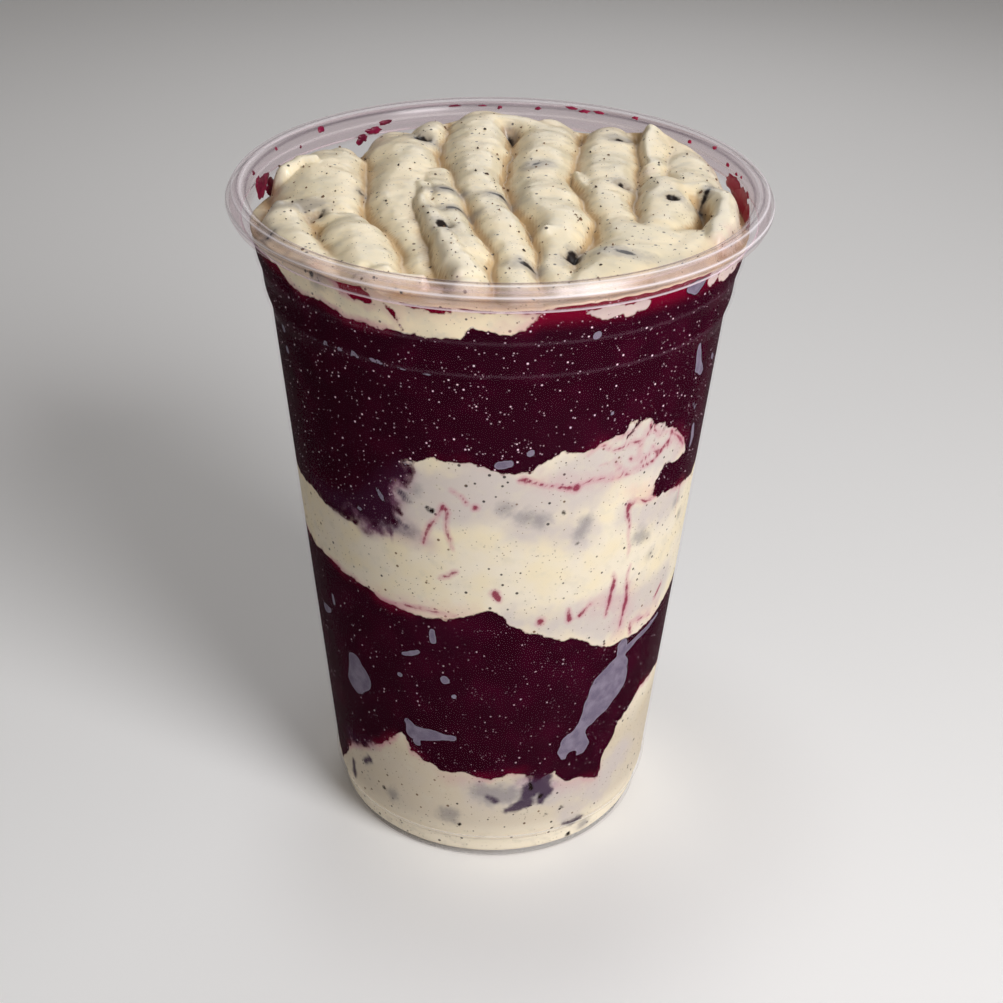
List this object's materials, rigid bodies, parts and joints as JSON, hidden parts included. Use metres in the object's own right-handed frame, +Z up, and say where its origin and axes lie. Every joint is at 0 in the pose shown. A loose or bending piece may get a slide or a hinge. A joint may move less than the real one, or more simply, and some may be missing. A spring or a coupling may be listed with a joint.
{
  "type": "layered acai cup",
  "caption": "Clear round cup with a rolled lip, filled with bands of acai sorbet and cookie cream, the cream piped in ropes on top.",
  "frame": {"origin": "middle of the foot, on the surface that the cup stands on", "axes": "+Z up along the cup's axis, -Y towards the pictured front"},
  "size_m": [0.095, 0.095, 0.1293],
  "materials": {
    "clear_cup": "clear thin moulded plastic, a little milky at the rolled lip",
    "acai": "dark purple-red sorbet, moist, with tiny pale specks of frost",
    "cream": "ivory whipped cream with dark cookie crumbs and flakes, soft satin gloss",
    "cookie": "nearly black baked cookie, broken into flakes and crumbs, partly under a film of cream"
  },
  "bodies": {
    "root": {"cup": "clear_cup", "cream_bottom": "cream", "acai_lower": "acai", "cream_middle": "cream", "acai_upper": "acai", "cream_top": "cream"}
  },
  "joints": []
}
